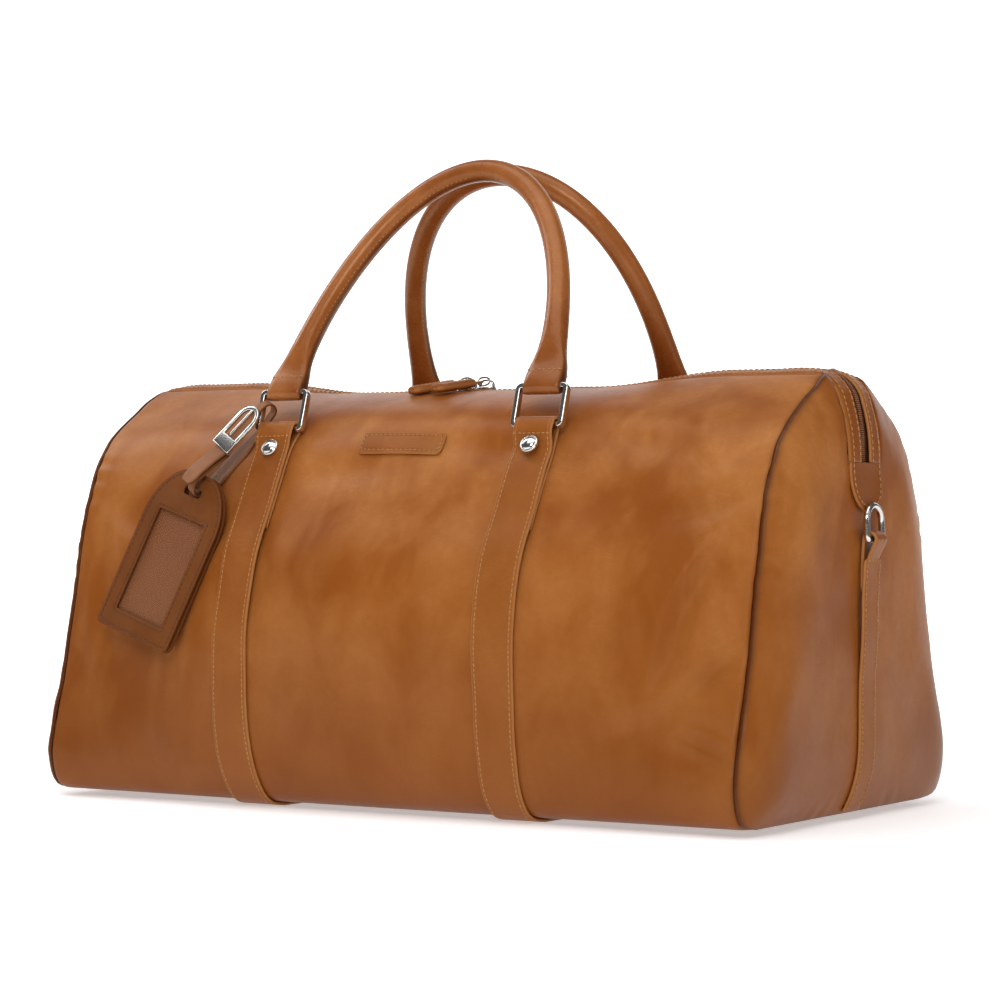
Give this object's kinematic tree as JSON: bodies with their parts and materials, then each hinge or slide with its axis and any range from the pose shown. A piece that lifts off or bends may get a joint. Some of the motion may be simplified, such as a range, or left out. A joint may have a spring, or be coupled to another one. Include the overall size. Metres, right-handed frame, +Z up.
{
  "type": "weekender bag",
  "caption": "Soft leather weekender bag with a long top zip, two rolled handles on rings, end D-rings and a hanging luggage tag.",
  "frame": {"origin": "on the ground under the middle of the bag", "axes": "+X along the bag towards its right end seen from the front, +Y to the back, +Z up"},
  "size_m": [0.5744, 0.3161, 0.4249],
  "materials": {
    "body_leather": "waxed pull-up cowhide, soft satin",
    "strap_leather": "waxed cowhide strips, satin",
    "tag_leather": "matt vegetable-tanned leather",
    "nickel": "polished nickel plate",
    "zip_tape": "woven polyester tape",
    "zip_coil": "nylon coil",
    "lining": "cotton twill",
    "base_board": "stiffener board",
    "handle_cord": "twisted cotton rope",
    "clear_window": "clear vinyl",
    "paper_card": "plain brown card"
  },
  "bodies": {
    "bag": {"front_panel": "body_leather", "back_panel": "body_leather", "base_panel": "body_leather", "end_panel_left": "body_leather", "end_panel_right": "body_leather", "front_patch": "body_leather", "zip_facing_front": "body_leather", "zip_facing_back": "body_leather", "zip_tab_left": "body_leather", "zip_tab_right": "body_leather", "strap_left": "strap_leather", "strap_right": "strap_leather", "end_strap_left": "strap_leather", "end_strap_right": "strap_leather", "rivet_front_left": "nickel", "rivet_front_right": "nickel", "rivet_back_left": "nickel", "rivet_back_right": "nickel", "zip_tape_front": "zip_tape", "zip_tape_back": "zip_tape", "zip_coil_front": "zip_coil", "zip_coil_back": "zip_coil", "lining_front": "lining", "lining_back": "lining", "lining_base": "lining", "lining_end_left": "lining", "lining_end_right": "lining", "base_board": "base_board"},
    "ring_front_left": {"ring_front_left": "nickel"},
    "ring_front_right": {"ring_front_right": "nickel"},
    "handle_front": {"handle_front": "strap_leather", "handle_core_front": "handle_cord"},
    "ring_back_left": {"ring_back_left": "nickel"},
    "ring_back_right": {"ring_back_right": "nickel"},
    "handle_back": {"handle_back": "strap_leather", "handle_core_back": "handle_cord"},
    "d_ring_left": {"d_ring_left": "nickel"},
    "d_ring_right": {"d_ring_right": "nickel"},
    "slider_left": {"slider_left": "nickel"},
    "pull_link_left": {"pull_link_left": "nickel"},
    "zip_pull_left": {"zip_pull_left": "strap_leather"},
    "slider_right": {"slider_right": "nickel"},
    "pull_link_right": {"pull_link_right": "nickel"},
    "zip_pull_right": {"zip_pull_right": "strap_leather"},
    "tag_strap": {"tag_strap": "tag_leather", "tag_buckle": "nickel"},
    "buckle_prong": {"buckle_prong": "nickel"},
    "tag": {"tag_front": "tag_leather", "tag_back": "tag_leather", "tag_window": "clear_window", "tag_card": "paper_card"}
  },
  "joints": [
    {"name": "ring_front_left_swing", "type": "hinge", "parent": "bag", "child": "ring_front_left", "pos_m": [-0.0994, -0.10026, 0.24498], "axis": [1, 0, 0], "range_deg": [0, 140], "deforming": ["tag_strap", "tag_buckle", "buckle_prong"]},
    {"name": "ring_front_right_swing", "type": "hinge", "parent": "bag", "child": "ring_front_right", "pos_m": [0.0994, -0.10026, 0.24498], "axis": [1, 0, 0], "range_deg": [0, 140]},
    {"name": "handle_front_swing", "type": "hinge", "parent": "ring_front_left", "child": "handle_front", "pos_m": [0, -0.09278, 0.26946], "axis": [1, 0, 0], "range_deg": [0, 30]},
    {"name": "ring_back_left_swing", "type": "hinge", "parent": "bag", "child": "ring_back_left", "pos_m": [-0.0994, 0.10026, 0.24498], "axis": [-1, 0, 0], "range_deg": [0, 140]},
    {"name": "ring_back_right_swing", "type": "hinge", "parent": "bag", "child": "ring_back_right", "pos_m": [0.0994, 0.10026, 0.24498], "axis": [-1, 0, 0], "range_deg": [0, 140]},
    {"name": "handle_back_swing", "type": "hinge", "parent": "ring_back_left", "child": "handle_back", "pos_m": [0, 0.08124, 0.26211], "axis": [-1, 0, 0], "range_deg": [0, 30]},
    {"name": "d_ring_left_swing", "type": "hinge", "parent": "bag", "child": "d_ring_left", "pos_m": [-0.282, 0, 0.174], "axis": [0, -1, 0], "range_deg": [0, 150]},
    {"name": "d_ring_right_swing", "type": "hinge", "parent": "bag", "child": "d_ring_right", "pos_m": [0.282, 0, 0.174], "axis": [0, 1, 0], "range_deg": [0, 150]},
    {"name": "slider_left_travel", "type": "slide", "parent": "bag", "child": "slider_left", "axis": [-0.9984, 0, 0.0573], "range_m": [0, 0.149]},
    {"name": "pull_link_left_lift", "type": "hinge", "parent": "slider_left", "child": "pull_link_left", "pos_m": [-0.016, 0, 0.2782], "axis": [-0.9527, 0.304, 0], "range_deg": [0, 60]},
    {"name": "zip_pull_left_lift", "type": "hinge", "parent": "pull_link_left", "child": "zip_pull_left", "pos_m": [-0.01871, -0.00848, 0.27685], "axis": [-0.9527, 0.304, 0], "range_deg": [0, 12]},
    {"name": "slider_right_travel", "type": "slide", "parent": "bag", "child": "slider_right", "axis": [0.9984, 0, 0.0573], "range_m": [0, 0.163]},
    {"name": "pull_link_right_lift", "type": "hinge", "parent": "slider_right", "child": "pull_link_right", "pos_m": [-0.002, 0, 0.2782], "axis": [-0.9814, 0.1922, 0], "range_deg": [0, 60]},
    {"name": "zip_pull_right_lift", "type": "hinge", "parent": "pull_link_right", "child": "zip_pull_right", "pos_m": [-0.00372, -0.00876, 0.27703], "axis": [-0.9814, 0.1922, 0], "range_deg": [0, 12]},
    {"name": "tag_strap_swing", "type": "hinge", "parent": "bag", "child": "tag_strap", "pos_m": [-0.11613, -0.09799, 0.25318], "axis": [-1, 0, 0], "range_deg": [0, 25], "deforming": ["tag_strap"]},
    {"name": "tag_flip", "type": "hinge", "parent": "tag_strap", "child": "tag", "pos_m": [-0.151, -0.124, 0.2035], "axis": [-0.9441, 0.2037, 0.259], "range_deg": [0, 25]},
    {"name": "buckle_prong_lift", "type": "hinge", "parent": "tag_strap", "child": "buckle_prong", "pos_m": [-0.1286, -0.11505, 0.24205], "axis": [0.8431, -0.3493, -0.4089], "range_deg": [0, 60]}
  ],
  "couplings": [
    {"joint": "ring_front_right_swing", "follows": "ring_front_left_swing", "ratio": 1},
    {"joint": "ring_back_right_swing", "follows": "ring_back_left_swing", "ratio": 1}
  ]
}
